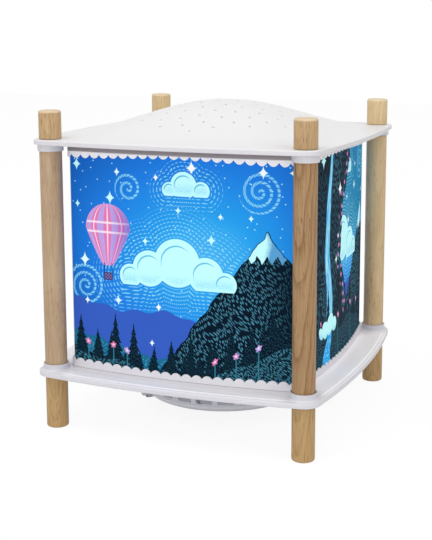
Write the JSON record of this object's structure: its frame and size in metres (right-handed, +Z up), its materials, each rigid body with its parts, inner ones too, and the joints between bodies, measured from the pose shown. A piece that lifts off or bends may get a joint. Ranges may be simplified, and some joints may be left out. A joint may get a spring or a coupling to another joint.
{
  "type": "rotating motion lamp",
  "caption": "Night lamp with wooden posts, a pierced bell cover, a printed square shade with scalloped edgings, a light drum turned by a gear motor, and a push button.",
  "frame": {"origin": "on the floor under the middle of the lamp, between its four feet", "axes": "+Z up, the pictured wide face looks along -Y, +X is to its right"},
  "size_m": [0.2124, 0.2124, 0.2206],
  "materials": {
    "beech": "oiled beech, fine grain",
    "cover_white": "smooth moulded",
    "tray_white": "smooth moulded",
    "housing_grey": "fine matt",
    "button_grey": "fine matt",
    "printed_sheet": "printed, lets light through",
    "drum_film": "printed film, lets light through",
    "clear_plastic": "frosted, lets light through",
    "nylon": "natural nylon",
    "steel": "bright",
    "dark_plastic": "fine matt",
    "board_green": "solder mask",
    "led_yellow": "phosphor",
    "wire_white": "smooth"
  },
  "bodies": {
    "stand": {"base_housing": "housing_grey", "base_tray": "tray_white", "capacitor": "dark_plastic", "column_screw_1": "steel", "column_screw_2": "steel", "column_screw_3": "steel", "control_board": "board_green", "driver_chip": "dark_plastic", "finial_back_left": "beech", "finial_back_right": "beech", "finial_front_left": "beech", "finial_front_right": "beech", "foot_back_left": "beech", "foot_back_right": "beech", "foot_front_left": "beech", "foot_front_right": "beech", "gear_motor": "steel", "housing_screw_1": "steel", "housing_screw_2": "steel", "housing_screw_3": "steel", "inlet_nut": "steel", "lamp_column": "cover_white", "led_1": "led_yellow", "led_2": "led_yellow", "led_3": "led_yellow", "led_board": "cover_white", "led_lead": "wire_white", "led_top": "clear_plastic", "light_diffuser": "clear_plastic", "lower_scallop_frame": "cover_white", "lower_stud_back_left": "steel", "lower_stud_back_right": "steel", "lower_stud_front_left": "steel", "lower_stud_front_right": "steel", "motor_lead": "wire_white", "motor_screw_1": "steel", "motor_screw_2": "steel", "pillar_back_left": "beech", "pillar_back_right": "beech", "pillar_front_left": "beech", "pillar_front_right": "beech", "power_inlet": "dark_plastic", "power_lead": "wire_white", "retaining_ring": "steel", "shade_sheet": "printed_sheet", "tact_switch": "dark_plastic", "thrust_washer": "nylon", "top_cover": "cover_white", "upper_scallop_frame": "cover_white", "upper_stud_back_left": "steel", "upper_stud_back_right": "steel", "upper_stud_front_left": "steel", "upper_stud_front_right": "steel"},
    "drum": {"turntable": "nylon", "drum_film": "drum_film", "drum_hoop": "nylon"},
    "pinion": {"motor_shaft": "steel", "drive_pinion": "nylon"},
    "button": {"power_button": "button_grey"}
  },
  "joints": [
    {"name": "drum_spin", "type": "hinge", "parent": "stand", "child": "drum", "pos_m": [0, 0, 0.0473], "axis": [0, 0, 1], "continuous": true},
    {"name": "pinion_spin", "type": "hinge", "parent": "stand", "child": "pinion", "pos_m": [0.0375, 0, 0.0473], "axis": [0, 0, 1], "continuous": true},
    {"name": "button_press", "type": "slide", "parent": "stand", "child": "button", "axis": [0.7071, 0.7071, 0], "range_m": [0, 0.0012], "stiffness_N_per_m": 800, "springref_m": -0.001}
  ],
  "couplings": [
    {"joint": "pinion_spin", "follows": "drum_spin", "ratio": -4}
  ]
}
